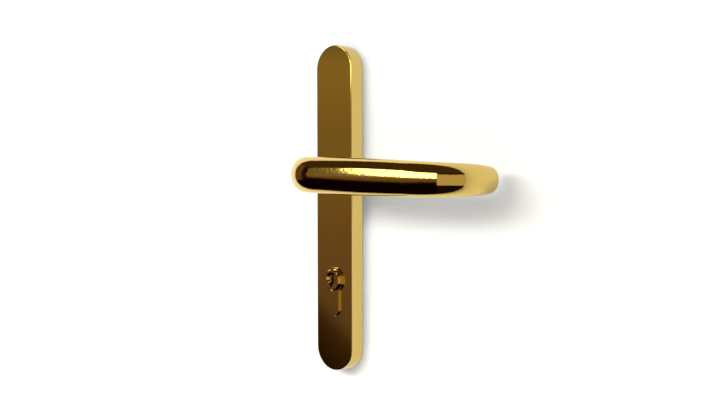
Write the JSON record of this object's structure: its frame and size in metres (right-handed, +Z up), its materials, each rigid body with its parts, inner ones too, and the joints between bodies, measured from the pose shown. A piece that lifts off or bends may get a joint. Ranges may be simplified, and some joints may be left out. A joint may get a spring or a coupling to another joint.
{
  "type": "lever door handle with euro cylinder",
  "caption": "Lever handle on a long round-ended backplate, with a euro profile double cylinder through it; lever returns by spring and the cylinder's plugs turn a cam.",
  "frame": {"origin": "where the spindle axis meets the door face, on the backplate's rear plane", "axes": "+Z up along the backplate, +X the way the lever points, +Y into the door along the spindle"},
  "size_m": [0.153, 0.1294, 0.2205],
  "materials": {
    "polished_gold": "polished",
    "plug_brass": "polished",
    "cylinder_brass": "satin",
    "zinc_steel": "satin",
    "spring_steel": "polished",
    "black_oxide": "satin",
    "sintered_steel": "matte",
    "nylon": "matte",
    "black_nylon": "matte"
  },
  "bodies": {
    "root": {"faceplate": "polished_gold", "neck_bush": "nylon", "neck_washer": "zinc_steel", "cassette_housing": "black_nylon", "cassette_cover": "zinc_steel", "cassette_screws": "zinc_steel", "return_spring_left": "spring_steel", "return_spring_right": "spring_steel", "cylinder_body": "cylinder_brass", "outer_driver_pins": "zinc_steel", "outer_pin_springs": "spring_steel", "outer_chamber_caps": "cylinder_brass", "inner_driver_pins": "zinc_steel", "inner_pin_springs": "spring_steel", "inner_chamber_caps": "cylinder_brass"},
    "lever_body": {"lever": "polished_gold", "neck_circlip": "black_oxide", "grub_screw": "black_oxide", "spindle": "zinc_steel", "rotor": "sintered_steel"},
    "slider_body": {"spring_slider": "nylon"},
    "outer_plug_body": {"outer_plug": "plug_brass", "outer_plug_clip": "black_oxide", "outer_key_pins": "plug_brass"},
    "inner_plug_body": {"inner_plug": "plug_brass", "inner_plug_clip": "black_oxide", "inner_key_pins": "plug_brass"},
    "cam_body": {"cam": "sintered_steel"},
    "shuttle_body": {"coupling_shuttle": "zinc_steel"}
  },
  "joints": [
    {"name": "lever_turn", "type": "hinge", "parent": "root", "child": "lever_body", "pos_m": [0, 0, 0], "axis": [0, 1, 0], "range_deg": [0, 40], "stiffness_Nm_per_rad": 1.1, "springref_deg": -20.05},
    {"name": "spring_slide", "type": "slide", "parent": "root", "child": "slider_body", "axis": [0, 0, 1], "range_m": [0, 0.0076], "deforming": ["return_spring_left", "return_spring_right"]},
    {"name": "outer_plug_turn", "type": "hinge", "parent": "root", "child": "outer_plug_body", "pos_m": [0, 0, -0.072], "axis": [0, 1, 0], "continuous": true},
    {"name": "inner_plug_turn", "type": "hinge", "parent": "root", "child": "inner_plug_body", "pos_m": [0, 0.046, -0.072], "axis": [0, 1, 0], "continuous": true},
    {"name": "cam_turn", "type": "hinge", "parent": "root", "child": "cam_body", "pos_m": [0, 0.0228, -0.072], "axis": [0, 1, 0], "continuous": true},
    {"name": "shuttle_slide", "type": "slide", "parent": "cam_body", "child": "shuttle_body", "axis": [0, 1, 0], "range_m": [0, 0.0013]}
  ],
  "couplings": [
    {"joint": "spring_slide", "follows": "lever_turn", "m_per_rad": 0.0105},
    {"joint": "cam_turn", "follows": "outer_plug_turn", "ratio": 1}
  ]
}
